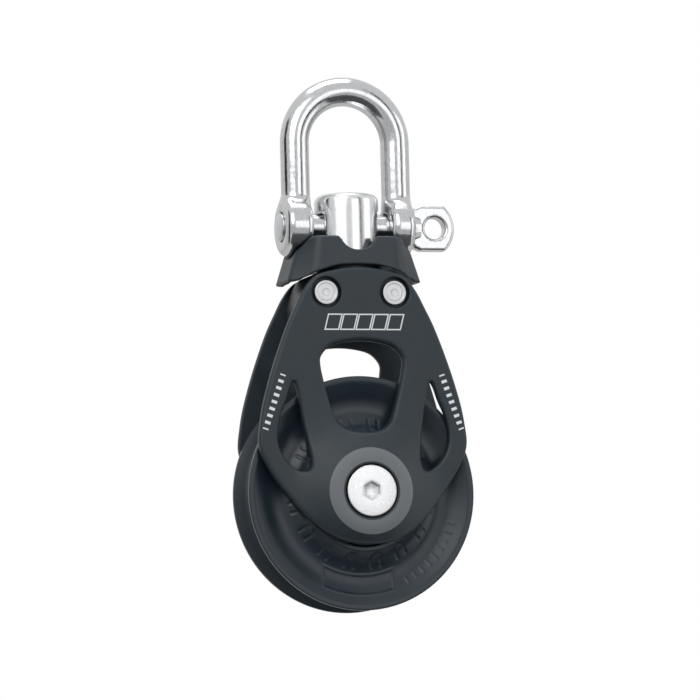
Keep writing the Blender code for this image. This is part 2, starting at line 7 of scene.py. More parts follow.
# %% The frame
import json
import math

import bmesh
import bpy
import numpy as np
from mathutils import Matrix, Vector, geometry


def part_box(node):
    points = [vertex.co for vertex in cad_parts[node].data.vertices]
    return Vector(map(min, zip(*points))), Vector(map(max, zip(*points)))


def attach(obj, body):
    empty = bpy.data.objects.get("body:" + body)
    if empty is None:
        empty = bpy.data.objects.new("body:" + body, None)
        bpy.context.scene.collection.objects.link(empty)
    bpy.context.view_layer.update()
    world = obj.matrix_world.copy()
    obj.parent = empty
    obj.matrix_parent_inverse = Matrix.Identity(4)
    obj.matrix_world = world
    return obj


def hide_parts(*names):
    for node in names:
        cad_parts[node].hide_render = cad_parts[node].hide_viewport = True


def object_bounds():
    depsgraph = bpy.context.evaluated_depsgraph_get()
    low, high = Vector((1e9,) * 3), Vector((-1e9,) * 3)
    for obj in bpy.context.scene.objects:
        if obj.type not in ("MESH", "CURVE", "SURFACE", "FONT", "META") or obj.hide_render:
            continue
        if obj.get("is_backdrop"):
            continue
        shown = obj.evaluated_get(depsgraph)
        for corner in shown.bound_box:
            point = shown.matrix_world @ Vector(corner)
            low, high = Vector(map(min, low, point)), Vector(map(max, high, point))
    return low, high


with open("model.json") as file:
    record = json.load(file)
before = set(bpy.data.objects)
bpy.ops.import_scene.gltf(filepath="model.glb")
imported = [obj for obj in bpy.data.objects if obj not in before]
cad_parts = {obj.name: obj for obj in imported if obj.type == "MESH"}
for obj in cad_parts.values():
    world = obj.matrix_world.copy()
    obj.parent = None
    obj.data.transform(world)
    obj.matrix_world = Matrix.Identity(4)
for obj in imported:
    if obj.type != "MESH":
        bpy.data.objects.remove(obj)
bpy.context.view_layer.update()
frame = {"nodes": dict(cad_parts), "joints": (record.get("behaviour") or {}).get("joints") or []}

MM = 0.001
JOINTS = {joint["name"]: joint for joint in frame["joints"]}
AXLE_Z = JOINTS["sheave_spin"]["pos_m"][2]
PIN_Z = JOINTS["shackle_swing"]["pos_m"][2]
AXLE = (0, 0, AXLE_Z)
PIN = (0, 0, PIN_Z)

# %% [markdown]
# ## Meshes from arrays
# A grid of points is the plainest surface there is: its faces are quads between neighbours, and a
# round piece joins its last column to its first. Points that fall together, at a pole or a seam,
# are merged afterwards, and the normals are recalculated to point outwards.

# %% Grid faces and finished pieces
def grid_faces(rows, columns, wrap_rows=False):
    """Quads between neighbouring points of a grid whose last column meets its first."""
    r, c = np.meshgrid(np.arange(rows if wrap_rows else rows - 1), np.arange(columns), indexing="ij")
    r2, c2 = (r + 1) % rows, (c + 1) % columns
    corners = [r * columns + c, r * columns + c2, r2 * columns + c2, r2 * columns + c]
    return np.stack(corners, axis=-1).reshape(-1, 4).tolist()


def tidy_mesh(mesh, sharp_degrees):
    """Merge doubled points, drop empty faces, point the rest outwards and shade them smooth."""
    bm = bmesh.new()
    bm.from_mesh(mesh)
    bmesh.ops.remove_doubles(bm, verts=bm.verts, dist=0.0005 * MM)
    bmesh.ops.dissolve_degenerate(bm, edges=bm.edges, dist=0.0001 * MM)
    bmesh.ops.recalc_face_normals(bm, faces=bm.faces)
    bm.to_mesh(mesh)
    bm.free()
    mesh.shade_smooth()
    mesh.set_sharp_from_angle(angle=math.radians(sharp_degrees))


def mesh_from(name, shells, sharp_degrees=35):
    """One mesh from a list of closed shells, each of them an array of points and its faces."""
    points, faces, start = [], [], 0
    for shell_points, shell_faces in shells:
        points.append(shell_points)
        faces += [[index + start for index in face] for face in shell_faces]
        start += len(shell_points)
    mesh = bpy.data.meshes.new(name)
    mesh.from_pydata(np.concatenate(points).tolist(), [], faces)
    tidy_mesh(mesh, sharp_degrees)
    return mesh


def linked(name, data):
    """A new object for some mesh, light or camera, linked into the scene."""
    thing = bpy.data.objects.new(name, data)
    bpy.context.scene.collection.objects.link(thing)
    return thing


def place(name, shape, material, slot, body, *nodes, sharp_degrees=35):
    """Make a mesh or a list of shells a piece that rides on a body and stands for CAD nodes."""
    mesh = mesh_from(name, shape, sharp_degrees) if isinstance(shape, list) else shape
    mesh.materials.clear()
    mesh.materials.append(material)
    piece = linked(name, mesh)
    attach(piece, body)
    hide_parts(*nodes)
    print(name, len(mesh.polygons), "faces")


def evaluated(mesh, *modifiers):
    """The mesh that a list of (type, settings) modifiers makes of another."""
    guide = linked("guide", mesh)
    for kind, settings in modifiers:
        modifier = guide.modifiers.new(kind.lower(), kind)
        for key, value in settings.items():
            setattr(modifier, key, value)
    bpy.context.view_layer.update()
    result = bpy.data.meshes.new_from_object(guide.evaluated_get(bpy.context.evaluated_depsgraph_get()))
    bpy.data.objects.remove(guide)
    return result


def cut(mesh, shells, sharp_degrees=35):
    """A mesh with closed shells taken out of it by an exact Boolean."""
    cutter = linked("cutter", mesh_from("cutter", shells))
    result = evaluated(mesh, ("BOOLEAN", {"operation": "DIFFERENCE", "object": cutter}))
    bpy.data.objects.remove(cutter)
    tidy_mesh(result, sharp_degrees)
    return result


# %% [markdown]
# ## Turned pieces
# Most of the block comes off a lathe, so one function spins a profile of (radius, position)
# points about an axis. A turned edge is never knife-sharp, so the profile's corners are rounded
# first, by a curve that takes up less than half of either side, and that round catches the light.

# %% Profiles and the lathe
def rounded(points, radius, steps=4):
    """Each inner corner becomes a curve between two points at the radius from the corner."""
    points = np.array(points, float)
    result = [points[:1]]
    share = np.linspace(0, 1, steps + 1)[:, None]
    for before, corner, after in zip(points, points[1:], points[2:]):
        a, b = before - corner, after - corner
        length_a, length_b = np.hypot(*a), np.hypot(*b)
        reach = min(radius, 0.45 * length_a, 0.45 * length_b)
        start, end = corner + a / length_a * reach, corner + b / length_b * reach
        result.append((1 - share) ** 2 * start + 2 * share * (1 - share) * corner + share ** 2 * end)
    return np.concatenate(result + [points[-1:]])


def lathe(radius, along, axis="Y", centre=AXLE, closed=False, steps=None):
    """A grid of rows by steps: each row is a circle of its radius, at its place along the axis.

    A radius may also be given for each row and step, which is how a hexagon is turned.
    """
    radius, along = np.asarray(radius, float), np.asarray(along, float)
    if radius.ndim == 1:
        radius = np.repeat(radius[:, None], steps or 96, axis=1)
    if along.ndim == 1:
        along = np.repeat(along[:, None], radius.shape[1], axis=1)
    angle = np.linspace(0, 2 * math.pi, radius.shape[1], endpoint=False)[None, :]
    a, b = radius * np.cos(angle), radius * np.sin(angle)
    grid = np.stack({"X": (along, a, b), "Y": (a, along, b), "Z": (a, b, along)}[axis], axis=-1)
    return (grid + np.array(centre)).reshape(-1, 3), grid_faces(*radius.shape, wrap_rows=closed)


def turned(profile, edge=0.15, axis="Y", centre=AXLE, closed=False, steps=96):
    """A lathe surface from (radius, position) points in mm, with its corners rounded."""
    profile = list(profile)
    if closed:
        middle = [(profile[0][0] + profile[-1][0]) / 2, (profile[0][1] + profile[-1][1]) / 2]
        profile = [middle] + profile + [middle]
    shape = rounded(profile, edge) * MM
    if closed:
        shape = shape[:-1]
    return lathe(shape[:, 0], shape[:, 1], axis, centre, closed, steps)


def ring(inner, outer, low, high, edge=0.15, axis="Y", centre=AXLE, steps=96):
    """A plain ring with rounded edges, in mm."""
    return turned([(inner, low), (outer, low), (outer, high), (inner, high)], edge, axis, centre,
                  True, steps)


def hexagon(across, steps):
    """Radius of a hexagon at each angle: half its width over the cosine from the nearest flat."""
    angle = np.linspace(0, 2 * math.pi, steps, endpoint=False)
    return across / 2 / np.cos((angle + math.pi / 6) % (math.pi / 3) - math.pi / 6)


# %% [markdown]
# ## Flat pieces with windows
# A cheek and the pin's ring are flat forgings with holes. Their faces are a height above a plane,
# so the surface is still a function of two parameters, x and z. The plane is filled with triangles
# that follow rings set in from every edge. The height falls to each edge along a quarter circle,
# which rounds the outline and each window alike.

# %% Loops
def span(a, b, c, d, t):
    """Catmull-Rom's cubic from b to c at each t from 0 to 1, with a and d as their neighbours."""
    return 0.5 * (2 * b + (c - a) * t + (2 * a - 5 * b + 4 * c - d) * t ** 2
                  + (3 * b - a - 3 * c + d) * t ** 3)


def smooth_loop(points, per_span=8):
    """A closed Catmull-Rom curve through points."""
    p = np.asarray(points, float)
    four = [np.roll(p, shift, 0)[:, None, :] for shift in (1, 0, -1, -2)]
    return span(*four, (np.arange(per_span) / per_span)[None, :, None]).reshape(-1, 2)


def mirrored(half):
    """Close a half outline, which starts and ends at x = 0, with its mirror image."""
    return half + [(-x, z) for x, z in reversed(half[1:-1])]


def circle(x, z, radius, count=160):
    """A circle as a loop of even points."""
    angle = np.linspace(0, 2 * math.pi, count, endpoint=False)
    return np.column_stack([x + radius * np.cos(angle), z + radius * np.sin(angle)])


def spaced(loop, spacing, anticlockwise):
    """Even points along a closed loop, in the wanted direction, which the area's sign tells."""
    x, z = loop.T
    if (np.sum(x * np.roll(z, -1) - z * np.roll(x, -1)) > 0) != anticlockwise:
        loop = loop[::-1]
    closed = np.vstack([loop, loop[:1]])
    along = np.concatenate([[0], np.cumsum(np.hypot(*np.diff(closed, axis=0).T))])
    at = np.linspace(0, along[-1], max(24, round(along[-1] / spacing)), endpoint=False)
    return np.column_stack([np.interp(at, along, closed[:, k]) for k in (0, 1)])


def inside(points, loops):
    """True where a ray from the point crosses the loops' sides an odd number of times."""
    odd = np.zeros(len(points), bool)
    x, z = points[:, :1], points[:, 1:]
    for loop in loops:
        a, b = loop, np.roll(loop, -1, 0)
        spans = (a[:, 1] > z) != (b[:, 1] > z)
        rise = np.where(a[:, 1] == b[:, 1], 1, b[:, 1] - a[:, 1])
        odd ^= np.sum(spans & (x < a[:, 0] + (z - a[:, 1]) / rise * (b[:, 0] - a[:, 0])), axis=1) % 2 > 0
    return odd


def from_loop(points, loop):
    """Distance from each point to the nearest side of a closed loop."""
    a, side = loop, np.roll(loop, -1, 0) - loop
    to_x, to_z = points[:, :1] - a[:, 0], points[:, 1:] - a[:, 1]
    share = np.clip((to_x * side[:, 0] + to_z * side[:, 1]) / np.sum(side ** 2, axis=1), 0, 1)
    return np.min(np.hypot(to_x - share * side[:, 0], to_z - share * side[:, 1]), axis=1)


# %% A plate from its loops and two height functions
def plate(outline, holes, front, back, rounds, back_round=0.2, spacing=0.3, fill=0.7, guides=(),
          steps=6):
    """Points (x, height, z) and faces of a plate, in mm, with its edges rounded.

    rounds holds the front radius of the outline and of each hole. A ring at angle a is set in by
    radius * (1 - cos a), and a point at distance d from an edge lies lower by
    radius * (1 - sqrt(1 - (1 - d / radius)^2)).
    """
    loops = [spaced(loop, spacing, index == 0) for index, loop in enumerate([outline, *holes])]
    flat, edges, count = [], [], 0
    for loop, radius in zip(loops, rounds):
        tangent = np.roll(loop, -1, 0) - np.roll(loop, 1, 0)
        inward = np.column_stack([-tangent[:, 1], tangent[:, 0]]) / np.hypot(*tangent.T)[:, None]
        index = np.arange(len(loop))
        for angle in np.linspace(0, math.pi / 2, steps):
            flat.append(loop + inward * radius * (1 - math.cos(angle)))
            edges.append(np.column_stack([index, np.roll(index, -1)]) + count)
            count += len(loop)
    low, high = loops[0].min(0), loops[0].max(0)
    x, z = np.meshgrid(np.arange(*(low[0], high[0], fill)), np.arange(low[1], high[1], fill * 0.87))
    x[1::2] += fill / 2
    grid = np.column_stack([x.ravel(), z.ravel()])
    for guide in guides:
        grid = np.concatenate([grid[from_loop(grid, guide) > fill * 0.4], guide])
    grid = grid[inside(grid, loops)]
    for loop, radius in zip(loops, rounds):
        grid = grid[from_loop(grid, loop) > radius + 0.4 * spacing]
    flat = np.concatenate(flat + [grid])
    found = geometry.delaunay_2d_cdt([Vector(point) for point in flat], np.concatenate(edges).tolist(),
                                     [], 0, 1e-4)
    points = np.array([tuple(point) for point in found[0]])
    triangles = np.array([face for face in found[2] if len(face) == 3])
    triangles = triangles[inside(points[triangles].mean(axis=1), loops)]
    drop, back_drop = np.zeros(len(points)), np.zeros(len(points))
    for loop, radius in zip(loops, rounds):
        distance = from_loop(points, loop)
        for array, size in ((drop, radius), (back_drop, back_round)):
            near = np.clip(1 - distance / size, 0, 1)
            array += size * (1 - np.sqrt(1 - near ** 2))
    x, z = points.T
    top = np.column_stack([x, front(x, z) - drop, z])
    bottom = np.column_stack([x, back(x, z) + back_drop, z])
    directed = np.concatenate([triangles[:, [0, 1]], triangles[:, [1, 2]], triangles[:, [2, 0]]])
    size = len(points)
    forward, backward = directed @ [size, 1], directed[:, ::-1] @ [size, 1]
    rim = directed[~np.isin(forward, backward)]
    walls = np.column_stack([rim[:, 0], rim[:, 1], rim[:, 1] + size, rim[:, 0] + size])
    faces = triangles.tolist() + (triangles[:, ::-1] + size).tolist() + walls.tolist()
    return np.concatenate([top, bottom]), faces


def shell_at(points, faces, side=1, centre=AXLE):
    """A plate's points in millimetres as metres in the block's frame, mirrored in y for side -1."""
    return points * np.array([1, side, 1]) * MM + np.array(centre), faces


# %% [markdown]
# ## Forged and moulded pieces
# A drop-forged shackle has no turned profile and no flat face: its bar runs into its ears through
# soft fillets. Such a shape is easiest to say as a distance. Each simple solid has a formula for
# how far a point lies from it, two distances are blended where the metal flows together, and the
# surface is where the result is zero. Blender's voxel remesh gives an even net of quads near that
# surface, and each point then slides down the distance's slope until it lies on it.

# %% Distances
def joined(a, b, fillet):
    """The smaller of two distances, with the crease between them filled to about the fillet."""
    share = np.clip(0.5 + 0.5 * (b - a) / fillet, 0, 1)
    return b + (a - b) * share - fillet * share * (1 - share)


def without(a, b, fillet):
    """The first distance outside the second solid: the larger of a and -b, with a soft edge."""
    return -joined(-a, b, fillet)


def disc(radius, along, size, half, edge):
    """Distance to a disc of a radius and a half thickness whose rims are rounded to the edge."""
    out, up = radius - size + edge, np.abs(along) - half + edge
    return np.minimum(np.maximum(out, up), 0) + np.hypot(np.maximum(out, 0), np.maximum(up, 0)) - edge


def slide_onto(mesh, distance, rounds=8, probe=0.01):
    """Move each point by minus distance times slope over slope squared, again and again.

    The slope is the difference of the distance at a probe's length to both sides, over its length.
    """
    points = np.empty(len(mesh.vertices) * 3)
    mesh.vertices.foreach_get("co", points)
    points = points.reshape(-1, 3) / MM
    for _ in range(rounds):
        slope = np.stack([(distance(points + step) - distance(points - step)) / (2 * probe)
                          for step in np.eye(3) * probe], axis=1)
        shift = distance(points) / np.maximum(np.sum(slope ** 2, axis=1), 0.2)
        points -= np.clip(shift, -0.3, 0.3)[:, None] * slope
    mesh.vertices.foreach_set("co", (points * MM).ravel())
    mesh.update()


def skinned(node, distance, voxel):
    """An even net wrapped on a copy of a CAD node, and slid onto a distance's zero surface."""
    copy = frame["nodes"][node].data.copy()
    tidy_mesh(copy, 180)
    net = evaluated(copy, ("REMESH", {"mode": "VOXEL", "voxel_size": voxel * MM}),
                    ("SMOOTH", {"factor": 0.5, "iterations": 6}))
    slide_onto(net, distance)
    tidy_mesh(net, 180)
    return net


# %% [markdown]
# ## Materials
# Every finish is written from what the real one is: how the surface was made says how rough it is
# and which marks it carries. Colours are sRGB hex values. Patterns are in real millimetres, read
# from Object coordinates, which are metres here, so a Mapping node multiplies them by a thousand.

# %% One node at a time
def linear(code):
    """An sRGB hex colour as linear values: ((c + 0.055) / 1.055)^2.4, and c / 12.92 near black."""
    values = [int(code[index:index + 2], 16) / 255 for index in (1, 3, 5)]
    return [v / 12.92 if v <= 0.04045 else ((v + 0.055) / 1.055) ** 2.4 for v in values] + [1]


def add(tree, kind, inputs=None, **settings):
    """Add a node, set its properties, and set or link its inputs; a node stands for its output."""
    node = tree.nodes.new("ShaderNode" + kind)
    for key, value in settings.items():
        setattr(node, key, value)
    for key, value in (inputs or {}).items():
        if isinstance(value, bpy.types.Node):
            value = next(socket for socket in value.outputs if socket.enabled)
        if isinstance(value, bpy.types.NodeSocket):
            tree.links.new(value, node.inputs[key])
        else:
            node.inputs[key].default_value = value
    return node


def new_material(name, colour, metallic, roughness):
    """A Principled material whose plain values sit on its own sockets; returns it and its tree."""
    material = bpy.data.materials.new(name)
    material.use_nodes = True
    shader = material.node_tree.nodes["Principled BSDF"]
    values = {"Base Color": linear(colour), "Metallic": metallic, "Roughness": roughness}
    for key, value in values.items():
        shader.inputs[key].default_value = value
    return material, material.node_tree, shader


def millimetres(tree, centre=(0, 0, 0), stretch=(1, 1, 1)):
    """Object coordinates in mm from a centre, squeezed by a stretch for lengthwise marks."""
    coordinates = add(tree, "TexCoord").outputs["Object"]
    scale = [1 / MM / value for value in stretch]
    shift = [-c * s for c, s in zip(centre, scale)]
    return add(tree, "Mapping", {"Vector": coordinates, "Location": shift, "Scale": scale})


def mottle(tree, vector, size, detail=3.0):
    """Noise whose blotches are about the size in mm across."""
    return add(tree, "TexNoise", {"Vector": vector, "Scale": 1 / size, "Detail": detail})


def ramp(tree, value, low, high, to_low, to_high):
    """A value's range carried to another range, held at its ends."""
    return add(tree, "MapRange", {"Value": value, "From Min": low, "From Max": high,
                                  "To Min": to_low, "To Max": to_high})


def tint(tree, share, colour_a, colour_b):
    """Colour a where the share is 0, and colour b where it is 1; each is a hex or a node."""
    colours = [linear(c) if isinstance(c, str) else c for c in (colour_a, colour_b)]
    return add(tree, "MixRGB", {"Fac": share, "Color1": colours[0], "Color2": colours[1]})


def rough_up(tree, shader, height, depth, normal=None):
    """Bump the shader's normal by a height pattern that stands for a depth in mm."""
    inputs = {"Height": height, "Distance": depth * MM, "Strength": 1.0}
    if normal is not None:
        inputs["Normal"] = normal
    bump = add(tree, "Bump", inputs)
    tree.links.new(bump.outputs["Normal"], shader.inputs["Normal"])
    return bump


def drive(tree, shader, colour, rough=None):
    """Let a colour pattern, and a roughness pattern if there is one, drive the shader."""
    tree.links.new(colour.outputs[0], shader.inputs["Base Color"])
    if rough is not None:
        tree.links.new(rough.outputs[0], shader.inputs["Roughness"])


# %% [markdown]
# ### Stainless steel
# The shackle is forged in 316 stainless and tumbled to a polish, so it mirrors the studio and
# keeps faint pits and a little unevenness from the forging. The post, rivets and screws are turned
# bar: their marks run round the axis. A turning mark is about 0.05 mm wide, which wouldn't show,
# so it is drawn four to seven times as coarse.

# %% Steel finishes
def tumbled_stainless():
    """Forged 316 steel, tumbled bright: soft waves of the die, fine pits and polishing scratches."""
    material, tree, shader = new_material("tumbled_316_stainless", "#cbcccd", 1.0, 0.16)
    position = millimetres(tree)
    waves = mottle(tree, position, 3.5, 2.0)
    grit = mottle(tree, millimetres(tree, stretch=(1, 1, 5)), 0.16, 4.0)
    rough = ramp(tree, mottle(tree, position, 1.2), 0.3, 0.7, 0.11, 0.22)
    drive(tree, shader, tint(tree, ramp(tree, grit, 0.35, 0.65, 0, 1), "#c1c2c4", "#d4d5d6"), rough)
    soft = rough_up(tree, shader, waves, 0.06)
    rough_up(tree, shader, grit, 0.0022, soft)
    return material


def turned_stainless(name, centre, axis, pitch=0.15, depth=0.003, rough_range=(0.22, 0.32),
                     colours=("#d2d3d4", "#ecedee")):
    """Turned 316 bar: rings round the axis, a pitch apart, broken up by a little noise."""
    material, tree, shader = new_material(name, "#dedfe0", 1.0, 0.27)
    position = millimetres(tree, centre)
    parts = add(tree, "SeparateXYZ", {"Vector": position})
    others = [parts.outputs[letter] for letter in "XYZ" if letter != axis]
    flat = add(tree, "CombineXYZ", {"X": others[0], "Y": others[1]})
    radius = add(tree, "VectorMath", {0: flat}, operation="LENGTH").outputs["Value"]
    run = add(tree, "Math", {0: radius, 1: parts.outputs[axis]}, operation="ADD")
    phase = add(tree, "Math", {0: run, 1: 2 * math.pi / pitch}, operation="MULTIPLY")
    marks = add(tree, "Math", {0: phase}, operation="SINE")
    grain = mottle(tree, position, 0.5, 5.0)
    height = add(tree, "Math", {0: marks, 1: grain}, operation="MULTIPLY")
    rough = ramp(tree, grain, 0.3, 0.7, *rough_range)
    drive(tree, shader, tint(tree, grain, *colours), rough)
    rough_up(tree, shader, height, depth)
    return material


SHACKLE_STEEL = tumbled_stainless()
RIVET_Z = (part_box("left_rivet")[0].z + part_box("left_rivet")[1].z) / 2
RIVET_X = (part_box("right_rivet")[0].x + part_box("right_rivet")[1].x) / 2
POST_STEEL = turned_stainless("turned_post_stainless", (0, 0, 0), "Z", 0.18, 0.002, (0.17, 0.25))
SCREW_STEEL = turned_stainless("turned_screw_stainless", AXLE, "Y", 0.22, 0.0035, (0.26, 0.38))
RIVET_STEEL = {side: turned_stainless(f"turned_{label}_rivet_stainless", (side * RIVET_X, 0, RIVET_Z),
                                      "Y", 0.34, 0.005, (0.3, 0.4), ("#b9babb", "#d0d1d2"))
               for side, label in ((-1, "left"), (1, "right"))}
print("steels:", SHACKLE_STEEL.name, POST_STEEL.name, SCREW_STEEL.name)


# %% [markdown]
# ### Hard-anodised forging and moulded plastics
# The cheeks are aluminium, forged, blasted and hard anodised: a thin glassy oxide grown dark grey
# over fine blasting grit, so the sheen is broad and the edges catch a soft line of light. The cap
# and the sheave are filled nylon, slightly blacker, with the faint orange peel of a mould.

# %% Dark finishes
def blasted(tree, shader, grit, depth, base, worn, rough_low, rough_high):
    """Fine grit in the bump and slow cloudiness in the colour and the roughness."""
    position = millimetres(tree)
    cloud = mottle(tree, position, 6.0, 3.0)
    fine = mottle(tree, position, grit, 4.0)
    colour = tint(tree, ramp(tree, cloud, 0.3, 0.7, 0, 1), base, worn)
    rough = ramp(tree, cloud, 0.3, 0.7, rough_low, rough_high)
    tree.links.new(rough.outputs[0], shader.inputs["Roughness"])
    rough_up(tree, shader, fine, depth)
    return colour


def moulded(name, base, worn, roughness, grit=0.25, depth=0.006):
    """A filled nylon moulding: dielectric, near black, with a grain from the tool's surface."""
    material, tree, shader = new_material(name, base, 0.0, roughness)
    colour = blasted(tree, shader, grit, depth, base, worn, roughness - 0.04, roughness + 0.05)
    drive(tree, shader, colour)
    return material


CAP_NYLON = moulded("moulded_cap_nylon", "#1f2930", "#262f36", 0.44)
SHEAVE_NYLON = moulded("moulded_sheave_nylon", "#16222c", "#1c2933", 0.33, 0.3, 0.004)
BALL_ACETAL = moulded("ground_white_acetal", "#e4e3dc", "#ecebe4", 0.28, 0.5, 0.001)
CAGE_ACETAL = moulded("moulded_black_acetal", "#26282a", "#2c2e30", 0.38)
BUSH_LINER = moulded("woven_bearing_liner", "#4a4a46", "#5a5a54", 0.6, 0.18, 0.02)
print("plastics:", CAP_NYLON.name, SHEAVE_NYLON.name)


def milled_anodised():
    """Milled 6061 spacer, anodised black: dark, with the cutter's short straight marks."""
    material, tree, shader = new_material("milled_and_anodised_aluminium", "#1b2024", 0.0, 0.42)
    marks = mottle(tree, millimetres(tree, stretch=(1, 8, 1)), 0.25, 3.0)
    drive(tree, shader, tint(tree, marks, "#171c20", "#20262a"))
    rough_up(tree, shader, marks, 0.006)
    return material


SPACER_ALUMINIUM = milled_anodised()


# %% [markdown]
# ### The cheeks' print
# The cheeks carry a plain grey ring round the axle's screw, a row of blank slanted cells under the
# rivets and a row of short ticks along each arm. Each mark is a distance worked out by nodes from
# the position, so it stays sharp at any size. The ink lies only on the outer face.

# %% Anodised forging with print
def beyond(tree, value, half):
    """How far a value lies outside plus or minus half: its size minus the half."""
    size = add(tree, "Math", {0: value}, operation="ABSOLUTE")
    return add(tree, "Math", {0: size, 1: half}, operation="SUBTRACT")


def both(tree, a, b):
    """The larger of two distances: inside both shapes at once."""
    return add(tree, "Math", {0: a, 1: b}, operation="MAXIMUM")


def repeated(tree, value, pitch):
    """A value folded into cells of a pitch, each counted from its own middle."""
    shifted = add(tree, "Math", {0: value, 1: pitch / 2}, operation="ADD")
    folded = add(tree, "Math", {0: shifted, 1: pitch}, operation="FLOORED_MODULO")
    return add(tree, "Math", {0: folded, 1: pitch / 2}, operation="SUBTRACT")


def inked(tree, distance, ground, ink):
    """The ink's colour where the distance is below zero, with an edge 0.06 mm wide."""
    return tint(tree, ramp(tree, distance, 0.03, -0.03, 0, 1), ground, ink)


def turned_axes(tree, position, centre, degrees):
    """The distances along and across a line at an angle through a centre, in mm."""
    angle = math.radians(degrees)
    results = []
    for dx, dz in ((math.cos(angle), math.sin(angle)), (-math.sin(angle), math.cos(angle))):
        away = add(tree, "VectorMath", {0: position, 1: (centre[0], 0, centre[1])}, operation="SUBTRACT")
        dot = add(tree, "VectorMath", {0: away, 1: (dx, 0, dz)}, operation="DOT_PRODUCT")
        results.append(dot.outputs["Value"])
    return results


NAME_SPOT, NAME_HALF_HEIGHT, CELL, CELLS, SLANT = (0.6, 32.7), 1.45, 3.1, 5, 0.27
ARM_SPOT, ARM_ANGLE, ARM_HALF, TICK = (17.75, 17.3), -70.5, (5.6, 0.55), 1.4
RING_MIDDLE, RING_HALF, OUTER_FACE, LINE_HALF = 6.95, 1.35, 7.9, 0.12


def anodised_forging():
    """Blasted and hard-anodised aluminium, printed with a ring, a row of cells and two of ticks."""
    material, tree, shader = new_material("hard_anodised_forging", "#1a252c", 0.0, 0.48)
    colour = blasted(tree, shader, 0.22, 0.008, "#18232a", "#1f2b33", 0.44, 0.54)
    position = millimetres(tree, AXLE)
    parts = add(tree, "SeparateXYZ", {"Vector": position})
    outer_face = beyond(tree, add(tree, "Math", {0: parts.outputs["Y"]}, operation="ABSOLUTE"),
                        OUTER_FACE)
    off_face = add(tree, "Math", {0: outer_face, 1: -1}, operation="MULTIPLY")
    flat = add(tree, "CombineXYZ", {"X": parts.outputs["X"], "Z": parts.outputs["Z"]})
    radius = add(tree, "VectorMath", {0: flat}, operation="LENGTH").outputs["Value"]
    from_ring = add(tree, "Math", {0: radius, 1: RING_MIDDLE}, operation="SUBTRACT")
    ring_mark = both(tree, beyond(tree, from_ring, RING_HALF), off_face)
    colour = inked(tree, ring_mark, colour, "#676c70")
    along, across = turned_axes(tree, flat, NAME_SPOT, 0)
    lean = add(tree, "Math", {0: across, 1: -SLANT}, operation="MULTIPLY")
    slanted = add(tree, "Math", {0: along, 1: lean}, operation="ADD")
    cell = both(tree, beyond(tree, repeated(tree, slanted, CELL), CELL / 2 - 0.2),
                beyond(tree, across, NAME_HALF_HEIGHT))
    line = both(tree, beyond(tree, cell, LINE_HALF), beyond(tree, slanted, CELL * CELLS / 2))
    colour = inked(tree, both(tree, line, off_face), colour, "#dfe2e4")
    folded = add(tree, "CombineXYZ", {
        "X": add(tree, "Math", {0: parts.outputs["X"]}, operation="ABSOLUTE"),
        "Z": parts.outputs["Z"]})
    along, across = turned_axes(tree, folded, ARM_SPOT, ARM_ANGLE)
    ticks = both(tree, beyond(tree, along, ARM_HALF[0]), beyond(tree, across, ARM_HALF[1]))
    ticks = both(tree, ticks, beyond(tree, repeated(tree, along, TICK), TICK * 0.2))
    colour = inked(tree, both(tree, ticks, off_face), colour, "#dfe2e4")
    drive(tree, shader, colour)
    return material


FORGED_ALUMINIUM = anodised_forging()
print(FORGED_ALUMINIUM.name, len(FORGED_ALUMINIUM.node_tree.nodes), "nodes")


# %% [markdown]
# ## The cheeks
# Each cheek is one forging: a flat web that swells into a hub round the axle, with a tall window
# for the rope and two slim ones that save weight. The outline and the windows are the same few
# points as in the frame, on closed Catmull-Rom curves. Height is a function of the radius from the
# axle alone. The far cheek is the near one mirrored.

# %% Cheek shape
CHEEK_RIM, HUB_FACE = 8.2, 12.3
SCREW_SEAT, HUB_HOLE = 10.6, 5.2
OUTLINE = [(0, 43.4), (4.0, 43.05), (6.6, 42.5), (8.4, 41.9), (9.8, 40.8), (11.4, 38.6),
           (12.75, 36.0), (14.9, 31.5), (17.5, 24.5), (19.6, 17.5), (20.5, 12.8), (20.8, 9.6),
           (20.2, 7.0), (18.3, 3.4), (15.6, -0.4), (12.2, -4.6), (8.4, -7.8), (4.3, -9.6), (0, -10.1)]
CENTRE_WINDOW = [(0, 29.1), (3.4, 28.8), (6.2, 28.0), (8.0, 26.2), (8.2, 24.4), (7.5, 20.8),
                 (6.1, 15.6), (5.0, 13.2), (3.0, 11.9), (0, 11.5)]
SIDE_WINDOW = [(13.5, 21.0), (12.7, 18.0), (12.0, 13.6), (11.5, 10.6), (11.0, 5.8), (11.9, 4.0),
               (14.0, 4.6), (16.2, 7.2), (17.1, 10.4), (16.5, 14.6), (15.3, 17.6), (14.3, 20.4)]
RIVET_SPOT = (RIVET_X / MM, (RIVET_Z - AXLE_Z) / MM)
COUNTERBORE, RIVET_SEAT = 3.0, 6.9
EDGE_ROUNDS = [0.7, 0.9, 0.7, 0.7, 0.2, 0.2, 0.15]
RECESS_RADII, RECESS_DEPTHS = (10.42, 10.48, 12.87, 12.93), (9.3, 8.1, 8.1, 6.5)


def dome(x, z):
    """Outer face: flat to radius 6.2, then a bell curve from the hub's face down to the rim's."""
    away = np.maximum(np.hypot(x, z) - 6.2, 0)
    return CHEEK_RIM + (HUB_FACE - CHEEK_RIM) * np.exp(-0.72 * (away / 5.2) ** 2)


def inner_face(x, z):
    """Inner face: flat, with the two steps of the recess over the sheave's hub and its balls."""
    return np.interp(np.hypot(x, z), RECESS_RADII, RECESS_DEPTHS)


